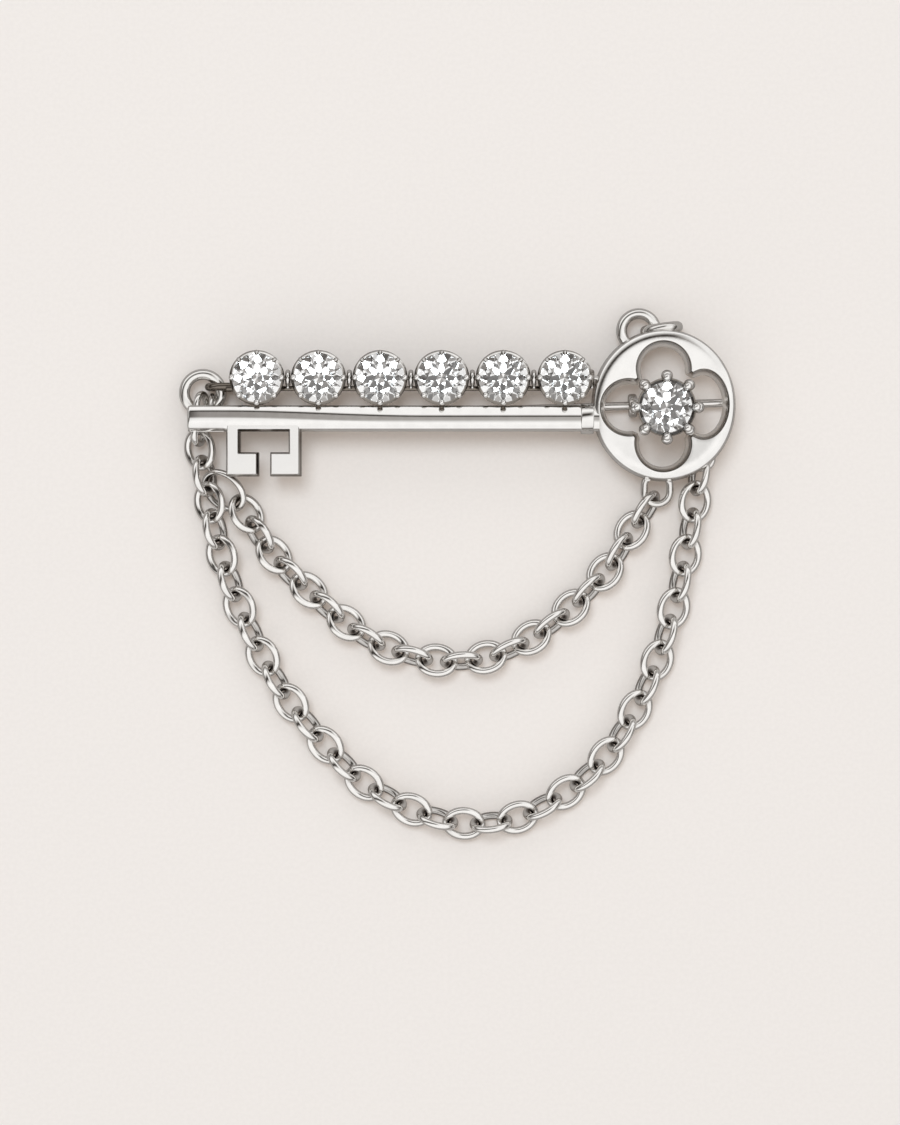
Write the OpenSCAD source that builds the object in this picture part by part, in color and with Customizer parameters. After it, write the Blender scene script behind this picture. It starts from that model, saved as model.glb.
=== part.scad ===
// Key brooch with a row of stones and two chain swags, lying on its pin side.
// +X runs along the key to its bow, +Y away from the swags and +Z up to the face of the key.

/* [Key] */
// Length from the end of the shaft to the far edge of the bow
key_len = 54.8; // [50:0.1:60]
// Thickness of the shaft and of the bow plate
plate_t = 2.1; // [1.6:0.1:3]
// Room for the pin between the surface below and the back of the key
pin_room = 3.4; // [3.2:0.1:5]
// Diameter of the round shaft
shaft_d = 2.6; // [2.2:0.1:3.4]
// Bevel at the free end of the shaft
shaft_bevel = 0.35; // [0.1:0.05:0.6]
// Diameter of the collar between shaft and bow
collar_d = 3.1; // [2.8:0.1:4]
// Length of the collar
collar_len = 1.3; // [0.8:0.1:2.5]
// How far the shaft lies below the middle of the bow
shaft_drop = 1.35; // [0.5:0.05:2]

/* [Bit] */
// Distance from the end of the shaft to the bit
bit_start = 3.8; // [3.5:0.1:5]
// Length of the bit along the shaft
bit_len = 7.5; // [7:0.1:9]
// Drop of the bit below the shaft's axis
bit_drop = 5.8; // [5:0.1:8]
// Width of the bit's outer post
bit_post = 1.4; // [1:0.1:2]
// Width of the bit's inner post
bit_inner_post = 1.25; // [1:0.05:2]
// Height of the two feet
foot_h = 2.4; // [1.8:0.1:3]
// Length of the outer foot
foot_len = 3.25; // [2:0.05:3.5]
// Width of the slot between the feet
foot_slot = 1.15; // [0.8:0.05:1.5]
// How far the flat bit plate stands proud of the round shaft
bit_proud = 0.05; // [0.02:0.01:0.2]

/* [Bow] */
// Width of the bow along the key
bow_w = 14.3; // [13:0.1:16]
// Height of the bow across the key
bow_h = 15.1; // [14:0.1:17]
// Depth of the shallow dish in its face
dish = 0.35; // [0.1:0.05:0.6]
// Width of the rim around the dish
rim_w = 0.4; // [0.2:0.05:0.8]
// How much narrower each lobe is at the back
lobe_taper = 0.65; // [0.2:0.05:0.8]
// Diameter of the hub that carries the bow's stone
hub_d = 5.5; // [5:0.1:6]

/* [Bow stone] */
// Diameter of the bow's stone
bow_stone_d = 5.6; // [5:0.1:6.2]
// Height of its girdle above the face of the key
bow_stone_rise = 1.0; // [0.8:0.1:1.5]
// Thickness of its prongs
bow_prong_d = 1.05; // [0.8:0.05:1.2]
// Diameter of the ball tips of its prongs
bow_ball_d = 0.85; // [0.6:0.05:1]

/* [Stone row] */
// Diameter of a stone in the row, as a share of the distance between the stones
row_stone_share = 0.8023; // [0.77:0.0001:0.81]
// Distance from the end of the shaft to the middle of the first stone
row_start = 6.85; // [6.5:0.05:7.5]
// Height of the stones' girdles above the back of the key
row_rise = 1.9; // [1.6:0.1:2.4]
// Thickness of the row's prongs
row_prong_d = 0.5; // [0.4:0.05:0.6]
// Diameter of the ball tips of the row's prongs
row_ball_d = 0.56; // [0.45:0.01:0.7]
// Clear space between the row and the shaft
row_gap = 0.1; // [0.05:0.05:0.5]
// Wire of the loop at the row's free end
row_loop_wire = 0.8; // [0.6:0.05:0.9]

/* [Rings] */
// Outer diameter of the ring behind the shaft's end
left_ring_d = 4.8; // [4.6:0.1:5]
// Outer diameter of the ring at the top of the bow
top_ring_d = 4.56; // [4.4:0.02:5]
// Wire of both rings
ring_wire = 1.1; // [0.9:0.05:1.2]
// Length of the hanger link
hanger_len = 5.7; // [5.6:0.05:6]
// Width of the hanger link
hanger_w = 3.0; // [2.9:0.1:3.2]
// Wire of the hanger link
hanger_wire = 0.7; // [0.5:0.05:0.75]

/* [Chain] */
// Length of a chain link
link_len = 4.38; // [4.3:0.01:4.45]
// Width of a chain link
link_w = 3.68; // [3.6:0.01:3.75]
// Wire of a chain link
link_wire = 0.74; // [0.6:0.01:0.76]
// Spacing of the outer swag's links, rounded to a whole number of links
outer_pitch = 2.75; // [2.7:0.01:2.78]
// Spacing of the inner swag's links, rounded to a whole number of links
inner_pitch = 2.52; // [2.48:0.01:2.7]
// Turn of every second link out of the flat
link_turn = 31; // [27:1:35]

/* [Pin] */
// Diameter of the pin stem
stem_d = 0.84; // [0.7:0.02:1]
// Diameter of the hinge drum and of the catch
drum_d = 2.4; // [2:0.1:2.5]
// Length of the hinge drum
drum_len = 0.9; // [0.6:0.1:1.5]
// Length of the catch
catch_len = 1.8; // [1.2:0.1:2.5]
// Lean of the pin to the key in plan
pin_lean = 1.8; // [1:0.1:2.2]

/* [Hidden] */
$fn = 36;
eps = 0.01;
// How far a soldered wire reaches into what it is soldered to
solder = 0.2;
// Gap between a piece and the seat that carries it
seat_gap = 0.05;
// Height of the rings, eyes and chain links above the surface below
chain_z = 1.7;
// Middle of the bow, seen from the middle of the whole brooch
bow_x = 20.9;
bow_y = 16.95;
back_z = pin_room;
face_z = back_z + plate_t;
shaft_r = shaft_d / 2;
shaft_y = bow_y - shaft_drop;
shaft_z = face_z - shaft_r;
shaft_end = bow_x + bow_w / 2 - key_len;
// Left edge of the bow at the height of the shaft
bow_left = bow_x - bow_w / 2 * sqrt(1 - pow(shaft_drop / (bow_h / 2), 2));
// Round cuts that make the bow's four lobes, from its middle: place and radius at the face.
// The right lobe is tall, so it takes three of them.
lobes = [
    [4, 0.1, 2.45], [4.4, 1.6, 1.95], [4.15, -1.5, 1.85],
    [-0.06, 3.67, 2.81],
    [-3.55, -0.25, 2.9],
    [-0.1, -3.85, 2.88]
];
// Place of the bow's stone beside the middle of the bow
bow_stone_at = [bow_x + 0.2, bow_y - 0.3];
bow_girdle_z = face_z + bow_stone_rise;
hub_bore_d = 3;
// The head: its upper ring below the girdle, the spread of its prongs, and its tips above the girdle
head_ring_h = 0.75;
head_ring_in = 0.7;
head_spread = 0.35;
head_tip_rise = 0.38;
knuckle = 1.12;
// Proportions of a round brilliant, as shares of its radius
crown_share = 0.3;
pavilion_share = 0.9;
table_share = 0.56;
girdle_share = 0.04;
// Row of stones beside the shaft: the stones share the length from the first one to the bow
row_count = 6;
row_clear = 2.915;
row_x = shaft_end + row_start;
row_pitch = (bow_left - row_clear - row_x) / (row_count - 1);
row_stone_d = row_pitch * row_stone_share;
row_girdle_z = back_z + row_rise;
row_outer_r = row_stone_d / 2 + 0.2;
row_y = shaft_y + shaft_r + row_gap + row_outer_r;
row_base_z = back_z - 0.7;
rail_w = 0.5;
rail_h = 0.6;
rail_y = shaft_y + 3.075;
// A setting of the row: foot ring, upper ring and prongs, as shares of the stone's radius
foot_ring_r = 0.66;
foot_ring_wall = 0.24;
foot_ring_h = 0.28;
upper_ring_h = 0.32;
row_tip_rise = 0.27;
joiner_r = 0.6;
joiner_wire = 0.5;
joiner_bite = 0.475;
joiner_z = row_girdle_z - 1.2;
row_end_x = bow_x - bow_w / 2 * sqrt(1 - pow((row_y - bow_y) / (bow_h / 2), 2)) - 0.55;
row_peg_len = 1.45;
row_loop_w = 3.2;
row_loop_y = rail_y + 0.19;
// Rings
left_ring_at = [shaft_end + 1.25, shaft_y + 2.7];
top_ring_at = [bow_x - 2.4, bow_y + bow_h / 2 + 0.05];
left_ring_r = (left_ring_d - ring_wire) / 2;
row_loop_x = left_ring_at[0] + 0.2;
hanger_at = [left_ring_at[0] - 0.25, shaft_y + 0.05];
hanger_lean = 85.6;
hanger_turn = 67.5;
// Wire eyes soldered to the back of the key
shaft_eye_r = 1.3;
shaft_eye_wire = 0.5;
shaft_eye_at = [left_ring_at[0] + 0.95, left_ring_at[1] - 1.6];
top_eye_len = 4.8;
top_eye_w = 4.2;
top_eye_wire = 0.8;
top_eye_lean = 9.5;
top_eye_reach = 0.87;
top_eye_at = [bow_x + 0.1, bow_y + bow_h / 2 + top_eye_wire / 2 - 0.12];
chain_eye_len = 3.8;
chain_eye_w = 3.3;
eye_wire = 0.7;
chain_eye_at = [bow_x - 0.55, bow_y - bow_h / 2 - 0.8];
end_eye_r = 1.09;
end_eye_wire = 0.6;
end_eye_post_d = 0.9;
end_eye_at = [bow_x + 3.99, bow_y - 5.25];
end_eye_lean = 79;
// Routes of the two swags, through the middles of their links, drawn for a shaft that ends at
// route_end. Their left part, up to route_left, follows the end of the shaft.
route_end = -26.75;
route_left = -21;
outer_route = [[-25.8, 12.6], [-25.1, 8.7], [-23.8, 2.6], [-21.2, -4.7], [-16.9, -12.6],
    [-10.9, -19.6], [-7.1, -22.4], [-3, -24.3], [1.6, -25.2], [7.5, -24.1], [14.3, -19.4],
    [19, -12], [21.9, -3.9], [23.4, 2.9], [24.6, 10]];
inner_route = [[-21.1, 6.1], [-18.6, 2.3], [-15.6, -0.9], [-10, -5.7], [-5.5, -7.9],
    [-0.4, -8.8], [5, -7.8], [10.5, -4.4], [15.1, 0.2], [17.3, 3.6], [19.2, 6.5]];
// The link that branches the inner swag from the outer one: place, heading, slope and turn
branch_at = [-23.37, 8.4, 1.51];
branch_heading = -35;
branch_slope = 13.5;
branch_turn = 31.7;
branch_len = 5.3;
branch_w = 4.2;
branch_wire = 0.62;
// Pin finding
pin_z = drum_d / 2 + 0.05;
pin_hinge_at = [bow_x - 3, bow_y + 0.05];
pin_point_clear = 3.65;
pin_reach_left = pin_hinge_at[0] - shaft_end - pin_point_clear;
pin_reach_right = 9.4;
post_d = 1;
post_top = back_z - seat_gap;
bracket_w = 1.2;

// A point of a smooth curve between b and c, with a and d as its outer neighbours
function curve_point(a, b, c, d, t) =
    (2 * b + (c - a) * t + (2 * a - 5 * b + 4 * c - d) * t * t
    + (3 * b - a - 3 * c + d) * t * t * t) / 2;

// A smooth curve through all points of a route, as closely spaced points
function smooth(route, steps = 10) = let (n = len(route) - 1) [
    for (i = [0 : n - 1], k = [0 : steps - 1])
        let (a = i == 0 ? 2 * route[0] - route[1] : route[i - 1])
        let (d = i == n - 1 ? 2 * route[n] - route[n - 1] : route[i + 2])
            curve_point(a, route[i], route[i + 1], d, k / steps),
    route[n]
];

// How far a place of a route follows the end of the shaft, for a swag with this right end
function follow(x, right) =
    (shaft_end - route_end) * max(0, min(1, (right - x) / (right - route_left)));

// A route that follows the end of the shaft
function hung(route) = let (right = route[len(route) - 1][0])
    [for (p = route) [p[0] + follow(p[0], right), p[1]]];

// The distance walked along a curve up to each of its points
function walked(pts) = [
    for (i = 0, s = 0; i < len(pts); s = s + (i + 1 < len(pts) ? norm(pts[i + 1] - pts[i]) : 0),
        i = i + 1) s
];

// The place at distance s along a curve
function place_at(pts, dist, s) = [
    for (axis = [0, 1]) lookup(s, [for (i = [0 : len(pts) - 1]) [dist[i], pts[i][axis]]])
];

// The points of an ellipse
function ellipse(w, h, n = 96) = [
    for (i = [0 : n - 1]) [w / 2 * cos(360 * i / n), h / 2 * sin(360 * i / n)]
];

// A closed wire ring around Z, measured outside
module wire_ring(d, wire) {
    rotate_extrude() translate([(d - wire) / 2, 0]) circle(d = wire);
}

// A closed oval wire link along X, measured outside
module wire_link(length, width, wire) {
    bend = (width - wire) / 2;
    straight = (length - width) / 2;
    for (side = [0, 180]) rotate([0, 0, side]) {
        translate([straight, 0, 0]) rotate_extrude(angle = 180, start = -90)
            translate([bend, 0]) circle(d = wire);
        translate([-straight, bend, 0]) rotate([0, 90, 0]) cylinder(d = wire, h = 2 * straight);
    }
}

// A round rod between two points, each given by radius and height
module leaning_rod(r1, z1, r2, z2, d) {
    translate([r1, 0, z1]) rotate([0, atan2(r2 - r1, z2 - z1), 0])
        cylinder(d = d, h = norm([r2 - r1, z2 - z1]));
}

// The room that a stone takes in its setting, with its girdle at height 0
module stone_room(r, clear) {
    girdle = r * girdle_share;
    rotate_extrude() polygon([
        [0, -r * pavilion_share - clear], [r + clear, -girdle - clear], [r + clear, clear],
        [r * table_share + clear, r * crown_share + clear], [0, r * crown_share + clear]
    ]);
}

// A round brilliant with its girdle at height 0: table, star, kite and girdle facets above,
// main and half facets below
module brilliant(r) {
    crown = r * crown_share;
    depth = r * pavilion_share;
    girdle = r * girdle_share;
    table_r = r * table_share;
    star_r = r * 0.78;
    half_r = r * 0.45;
    mid = cos(22.5);
    star_z = crown * (r - star_r * mid) / (r - table_r);
    half_z = -girdle - (depth - girdle) * (1 - half_r * mid / r);
    function ring(rad, z, n, turn) = [
        for (i = [0 : n - 1])
            [rad * cos(turn + 360 * i / n), rad * sin(turn + 360 * i / n), z]
    ];
    table = ring(table_r, crown, 8, 0);
    star = ring(star_r, star_z, 8, 22.5);
    top = ring(r, 0, 16, 0);
    low = ring(r, -girdle, 16, 0);
    half = ring(half_r, half_z, 8, 22.5);
    pts = concat(table, star, top, low, half, [[0, 0, -depth]]);
    stars = [for (i = [0 : 7]) [(i + 1) % 8, 8 + i, i]];
    kites = [for (i = [0 : 7]) let (p = (i + 7) % 8) each [
        [i, 16 + 2 * i, 8 + p], [i, 8 + i, 16 + 2 * i]
    ]];
    uppers = [for (i = [0 : 7]) let (j = (2 * i + 2) % 16) each [
        [8 + i, 17 + 2 * i, 16 + 2 * i], [8 + i, 16 + j, 17 + 2 * i]
    ]];
    sides = [for (i = [0 : 15]) let (j = (i + 1) % 16) [16 + i, 16 + j, 32 + j, 32 + i]];
    halves = [for (i = [0 : 7]) let (j = (2 * i + 2) % 16) each [
        [48 + i, 32 + 2 * i, 33 + 2 * i], [48 + i, 33 + 2 * i, 32 + j]
    ]];
    mains = [for (i = [0 : 7]) let (p = (i + 7) % 8) each [
        [48 + i, 48 + p, 32 + 2 * i], [48 + p, 48 + i, 56]
    ]];
    polyhedron(pts, concat([[for (i = [7 : -1 : 0]) i]], stars, kites, uppers, sides, halves, mains));
}

// Shaft with its bevelled end and flattened back, and the collar at the bow
module shaft() {
    run = bow_left - shaft_end;
    difference() {
        translate([shaft_end, shaft_y, shaft_z]) rotate([0, 90, 0]) {
            cylinder(h = shaft_bevel, r1 = shaft_r - shaft_bevel, r2 = shaft_r);
            translate([0, 0, shaft_bevel]) cylinder(h = run - shaft_bevel + 0.6, r = shaft_r);
            translate([0, 0, run - collar_len]) cylinder(h = collar_len, d = collar_d);
        }
        translate([shaft_end - 1, shaft_y - collar_d, back_z - collar_d])
            cube([run + 3, 2 * collar_d, collar_d]);
    }
}

// Flat bit: a plate under the shaft with a window and a slot between its two feet
module bit() {
    bottom = shaft_y - bit_drop;
    window_h = bit_drop - shaft_r - foot_h;
    translate([shaft_end + bit_start, bottom, back_z]) difference() {
        cube([bit_len, bit_drop + 0.2, plate_t + bit_proud]);
        translate([bit_post, foot_h, -1])
            cube([bit_len - bit_post - bit_inner_post, window_h, plate_t + 2]);
        translate([foot_len, -1, -1]) cube([foot_slot, foot_h + 2, plate_t + 2]);
    }
}

// Bow plate: an oval with a shallow dish, pierced by four lobes that narrow to the back
module bow_plate() {
    dish_r = pow(bow_w / 2 - rim_w, 2) / (2 * dish);
    bore_at = bow_stone_at - [bow_x, bow_y];
    translate([bow_x, bow_y, back_z]) difference() {
        linear_extrude(plate_t) polygon(ellipse(bow_w, bow_h));
        translate([bore_at[0], bore_at[1], -eps]) cylinder(h = plate_t, d = hub_bore_d);
        translate([0, 0, plate_t - dish + dish_r]) sphere(r = dish_r, $fn = 200);
        for (lobe = lobes) translate([lobe[0], lobe[1], -eps])
            cylinder(h = plate_t + 2 * eps, r1 = lobe[2] - lobe_taper, r2 = lobe[2]);
    }
}

// Hub and eight-prong head for the bow's stone
module bow_head() {
    r = bow_stone_d / 2;
    top = bow_girdle_z;
    hub_top = face_z - dish;
    difference() {
        union() {
            translate([0, 0, back_z]) cylinder(h = hub_top - back_z, d = hub_d);
            rotate_extrude() polygon([
                [r - head_ring_in, top - head_ring_h], [r - 0.1, top - head_ring_h],
                [r + head_spread / 2, top], [r - head_spread, top]
            ]);
            for (a = [0 : 45 : 315]) rotate([0, 0, a]) {
                leaning_rod(r - 0.5, hub_top - solder, r + head_spread, top, bow_prong_d);
                translate([r + head_spread, 0, top]) sphere(d = bow_prong_d * knuckle);
                translate([r + head_spread / 2, 0, top + head_tip_rise]) sphere(d = bow_ball_d);
            }
        }
        translate([0, 0, back_z - 1]) cylinder(h = plate_t + 1, d = hub_bore_d);
        translate([0, 0, top]) stone_room(r, seat_gap);
        translate([0, 0, back_z - 2]) cylinder(h = 2, d = 3 * hub_d);
    }
}

// Wire eyes on the back: one for each ring and one for the end of each swag
module eyes() {
    translate([shaft_eye_at[0], shaft_eye_at[1], back_z + 0.1 - shaft_eye_r - shaft_eye_wire / 2])
        rotate([0, 90, 0]) wire_ring(2 * shaft_eye_r + shaft_eye_wire, shaft_eye_wire);
    translate([top_eye_at[0], top_eye_at[1], back_z + top_eye_reach - top_eye_w / 2])
        rotate([0, 0, top_eye_lean]) rotate([90, 0, 0])
            wire_link(top_eye_len, top_eye_w, top_eye_wire);
    translate([chain_eye_at[0], chain_eye_at[1], chain_z]) rotate([0, 0, 90]) {
        wire_link(chain_eye_len, chain_eye_w, eye_wire);
        bend = (chain_eye_w - eye_wire) / 2;
        for (side = [-1, 1]) translate([(chain_eye_len - chain_eye_w) / 2, 0, 0])
            rotate([0, 0, side * 50]) translate([bend, 0, 0])
                cylinder(h = back_z - chain_z + solder, d = eye_wire);
    }
    translate([end_eye_at[0], end_eye_at[1], chain_z]) {
        wire_ring(2 * end_eye_r + end_eye_wire, end_eye_wire);
        rotate([0, 0, end_eye_lean]) translate([end_eye_r, 0, 0])
            cylinder(h = back_z - chain_z + solder, d = end_eye_post_d);
    }
}

// Peg on the bow's side that carries the end ring of the row
module row_peg() {
    translate([row_end_x - 0.55, row_y, joiner_z]) rotate([0, 90, 0])
        cylinder(h = row_peg_len, d = 2 * joiner_r - joiner_wire - 0.26);
}

module key() {
    color("silver") {
        shaft();
        bit();
        bow_plate();
        translate([bow_stone_at[0], bow_stone_at[1], 0]) bow_head();
        eyes();
        row_peg();
    }
}

module bow_stone() {
    color("white") translate([bow_stone_at[0], bow_stone_at[1], bow_girdle_z])
        brilliant(bow_stone_d / 2);
}

// One eight-prong setting of the row, around Z
module row_setting() {
    r = row_stone_d / 2;
    top = row_girdle_z;
    foot_top = row_base_z + foot_ring_h * r;
    foot_r = foot_ring_r * r;
    foot_in = foot_r - foot_ring_wall * r;
    tip_r = row_outer_r - row_prong_d / 2 + 0.06;
    difference() {
        union() {
            rotate_extrude() polygon([
                [foot_in, row_base_z], [foot_r, row_base_z], [foot_r + 0.15, foot_top],
                [foot_in + 0.15, foot_top]
            ]);
            rotate_extrude() polygon([
                [r - 0.5, top - 0.15 - upper_ring_h * r], [r - 0.1, top - 0.15 - upper_ring_h * r],
                [r + 0.14, top - 0.15], [r - 0.2, top - 0.15]
            ]);
            for (a = [0 : 45 : 315]) rotate([0, 0, a]) {
                leaning_rod(foot_r, row_base_z + 0.3, tip_r, top + row_tip_rise, row_prong_d);
                translate([tip_r, 0, top + row_tip_rise]) sphere(d = row_ball_d);
            }
        }
        translate([0, 0, top]) stone_room(r, seat_gap);
    }
}

// The row: six settings on a rail, joined by upright rings, with a loop at its free end
module stone_row() {
    last_x = row_x + (row_count - 1) * row_pitch;
    loop_end = row_x - row_stone_d / 2 * 0.55;
    loop_len = loop_end - row_loop_x;
    color("silver") {
        for (i = [0 : row_count - 1]) translate([row_x + i * row_pitch, row_y, 0]) row_setting();
        for (i = [0 : row_count - 1]) {
            ring_x = i < row_count - 1 ? row_x + (i + 0.5) * row_pitch : row_end_x;
            half_way = i < row_count - 1 ? row_pitch / 2 : row_end_x - last_x;
            reach = half_way - row_outer_r + joiner_bite;
            translate([ring_x, row_y, joiner_z]) {
                rotate([0, 90, 0]) wire_ring(2 * joiner_r + joiner_wire, joiner_wire);
                translate([-reach, 0, joiner_r]) rotate([0, 90, 0])
                    cylinder(h = i < row_count - 1 ? 2 * reach : reach, d = joiner_wire);
            }
        }
        translate([row_loop_x + 2.2, rail_y - rail_w / 2, row_base_z + 0.05])
            cube([last_x - row_loop_x - 2.2, rail_w, rail_h]);
        translate([row_loop_x + loop_len / 2, row_loop_y, chain_z]) rotate([90, 0, 0])
            wire_link(loop_len, row_loop_w, row_loop_wire);
    }
}

module row_stone(index) {
    color("white") translate([row_x + (index - 1) * row_pitch, row_y, row_girdle_z])
        brilliant(row_stone_d / 2);
}

module left_ring() {
    color("silver") translate([left_ring_at[0], left_ring_at[1], chain_z])
        wire_ring(left_ring_d, ring_wire);
}

module top_ring() {
    color("silver") translate([top_ring_at[0], top_ring_at[1], chain_z])
        wire_ring(top_ring_d, ring_wire);
}

module hanger_link() {
    color("silver") translate([hanger_at[0], hanger_at[1], chain_z])
        rotate([0, 0, hanger_lean]) rotate([hanger_turn, 0, 0])
            wire_link(hanger_len, hanger_w, hanger_wire);
}

// Links spaced evenly along a route, each turned a quarter from the one before
module swag(route, pitch, first_turn) {
    pts = smooth(hung(route));
    dist = walked(pts);
    total = dist[len(dist) - 1];
    count = round(total / pitch);
    step = total / count;
    for (i = [0 : count]) {
        here = place_at(pts, dist, i * step);
        ahead = place_at(pts, dist, (i + 0.5) * step) - place_at(pts, dist, (i - 0.5) * step);
        translate([here[0], here[1], chain_z]) rotate([0, 0, atan2(ahead[1], ahead[0])])
            rotate([i % 2 == 0 ? first_turn : first_turn - 90, 0, 0])
                wire_link(link_len, link_w, link_wire);
    }
}

module outer_chain() {
    color("gray") swag(outer_route, outer_pitch, link_turn);
}

// The inner swag hangs from a slightly larger link, which is threaded on the outer swag
module inner_chain() {
    color("gray") {
        translate(branch_at + [shaft_end - route_end, 0, 0])
            rotate([0, -branch_slope, branch_heading])
            rotate([branch_turn, 0, 0]) wire_link(branch_len, branch_w, branch_wire);
        swag(inner_route, inner_pitch, -link_turn);
    }
}

// Closed pin: stem, hinge drum, catch barrel and the feet that stand on the key's back
module pin_finding() {
    color("gray") translate([pin_hinge_at[0], pin_hinge_at[1], 0]) rotate([0, 0, pin_lean]) {
        translate([-pin_reach_left, 0, pin_z]) rotate([0, 90, 0]) {
            cylinder(h = 1.6, r1 = 0.1, r2 = stem_d / 2);
            translate([0, 0, 1.6]) cylinder(h = pin_reach_left - 1.6 + pin_reach_right, d = stem_d);
        }
        translate([-drum_len / 2, 0, pin_z]) rotate([0, 90, 0]) cylinder(h = drum_len, d = drum_d);
        translate([0, -bracket_w / 2, pin_z]) cube([1.5, bracket_w, post_top - pin_z]);
        translate([pin_reach_right, 0, pin_z - stem_d / 2])
            cylinder(h = post_top - pin_z + stem_d / 2, d = post_d);
        translate([-pin_reach_left + 2.2, 0, pin_z]) {
            rotate([0, 90, 0]) cylinder(h = catch_len, d = drum_d - 0.5);
            translate([0, -bracket_w / 2, 0]) cube([catch_len, bracket_w, post_top - pin_z]);
        }
    }
}

key();
bow_stone();
stone_row();
row_stone(1);  // row_stone_1
row_stone(2);  // row_stone_2
row_stone(3);  // row_stone_3
row_stone(4);  // row_stone_4
row_stone(5);  // row_stone_5
row_stone(6);  // row_stone_6
left_ring();
top_ring();
hanger_link();
inner_chain();
outer_chain();
pin_finding();
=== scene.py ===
import math

import bmesh
import bpy
from mathutils import Matrix, Vector
from mathutils.geometry import delaunay_2d_cdt
from mathutils.kdtree import KDTree


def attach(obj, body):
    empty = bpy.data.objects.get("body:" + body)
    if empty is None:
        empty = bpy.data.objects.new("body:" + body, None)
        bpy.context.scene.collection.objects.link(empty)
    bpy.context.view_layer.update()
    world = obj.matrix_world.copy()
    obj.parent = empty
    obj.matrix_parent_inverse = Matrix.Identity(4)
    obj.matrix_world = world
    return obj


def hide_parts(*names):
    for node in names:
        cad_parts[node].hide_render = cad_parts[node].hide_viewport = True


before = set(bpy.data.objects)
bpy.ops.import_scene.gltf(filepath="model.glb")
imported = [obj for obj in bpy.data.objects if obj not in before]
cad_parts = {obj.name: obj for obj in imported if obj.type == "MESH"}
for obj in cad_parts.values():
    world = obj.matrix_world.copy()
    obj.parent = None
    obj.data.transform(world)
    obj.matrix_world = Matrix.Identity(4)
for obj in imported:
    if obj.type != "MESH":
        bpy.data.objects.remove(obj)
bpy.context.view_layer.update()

# The shaft: a round silver rod plated with bright rhodium. Its back is filed flat for the pin,
# its free end is eased round, and a turned collar is soldered on where it meets the bow.
MM = 0.001
back_z, face_z = 3.4, 5.5
shaft_from, shaft_to, end_round = -26.85, 14.4, 0.3
shaft_y, shaft_z, shaft_r = 15.6, 4.2, 1.3
collar_from, collar_to, collar_r, collar_round = 12.565, 13.865, 1.55, 0.12
bright_tone = (0.87, 0.86, 0.845)
shadow_tone = (0.36, 0.335, 0.31)
bounce_tone = (1.0, 0.8, 0.62)
# Its upper side is filed to a broad flat and a steep one. The crease between them runs from near
# the edge at the free end to the middle at the bow.
crease_from, crease_to = -23.0, -3.0
crease_at_end, crease_at_bow, crease_round = 0.77, 0.25, 0.1
broad_width = 0.75
broad_fall, steep_fall = math.tan(math.radians(7)), math.tan(math.radians(27))
# Its lower side and both edges round off from these places across it, each with its own curve.
# Up to the bit the free end is worn, and rounds off faster.
side_from, lower_from, upper_from = -0.2, -0.95, 1.08
side_curve, lower_curve, upper_curve = 0.22, 12.5, 22
wear, worn_to, even_from = 1.9, -23.3, -23.0
flank_z = 4.25
# It is scored round at these places along it, so that the upper side can be shaped: every
# station_step, and more closely where the wear ends.
station_from, station_step, stations = -25.5, 0.8, 36
worn_step, worn_stations = 0.1, 4


class Shade:
    """A socket of a material, so that sums of shader values read as plain sums."""

    def __init__(self, tree, socket=None):
        self.tree, self.socket = tree, socket

    def node(self, kind, settings=None, values=None, out=0):
        """A new node, by its kind, its settings and the values or links of its sockets. The stops
        of a ramp are places and grey levels."""
        made = self.tree.nodes.new(kind)
        for name, value in (settings or {}).items():
            if name == "stops":
                steps = made.color_ramp.elements
                while len(steps) > 1:
                    steps.remove(steps[-1])
                steps[0].position = value[0][0]
                for place, _ in value[1:]:
                    steps.new(place)
                for step, (_, level) in zip(steps, value):
                    step.color = (level, level, level, 1)
            else:
                setattr(made, name, value)
        for key, value in (values or {}).items():
            if isinstance(value, Shade):
                self.tree.links.new(value.socket, made.inputs[key])
            else:
                made.inputs[key].default_value = value
        return Shade(self.tree, made.outputs[out])

    def math(self, operation, first, second=0.0):
        """One step of arithmetic."""
        return self.node("ShaderNodeMath", {"operation": operation}, {0: first, 1: second})

    def __add__(self, other):
        return self.math("ADD", self, other)

    __radd__ = __add__

    def __sub__(self, other):
        return self.math("SUBTRACT", self, other)

    def __rsub__(self, other):
        return self.math("SUBTRACT", other, self)

    def __mul__(self, other):
        return self.math("MULTIPLY", self, other)

    __rmul__ = __mul__

    def ease(self, low, high, start=0.0, end=1.0):
        """Start below low, end above high, and a smooth change between."""
        return self.node(
            "ShaderNodeMapRange", {"interpolation_type": "SMOOTHSTEP"},
            {"Value": self, "From Min": low, "From Max": high, "To Min": start, "To Max": end},
        )


def blend_tones(mask, low, high):
    """The low tone where the mask is 0 and the high tone where it is 1."""
    return mask.node(
        "ShaderNodeMix", {"data_type": "RGBA"}, {0: mask, 6: (*low, 1), 7: (*high, 1)}, out=2
    )


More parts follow.
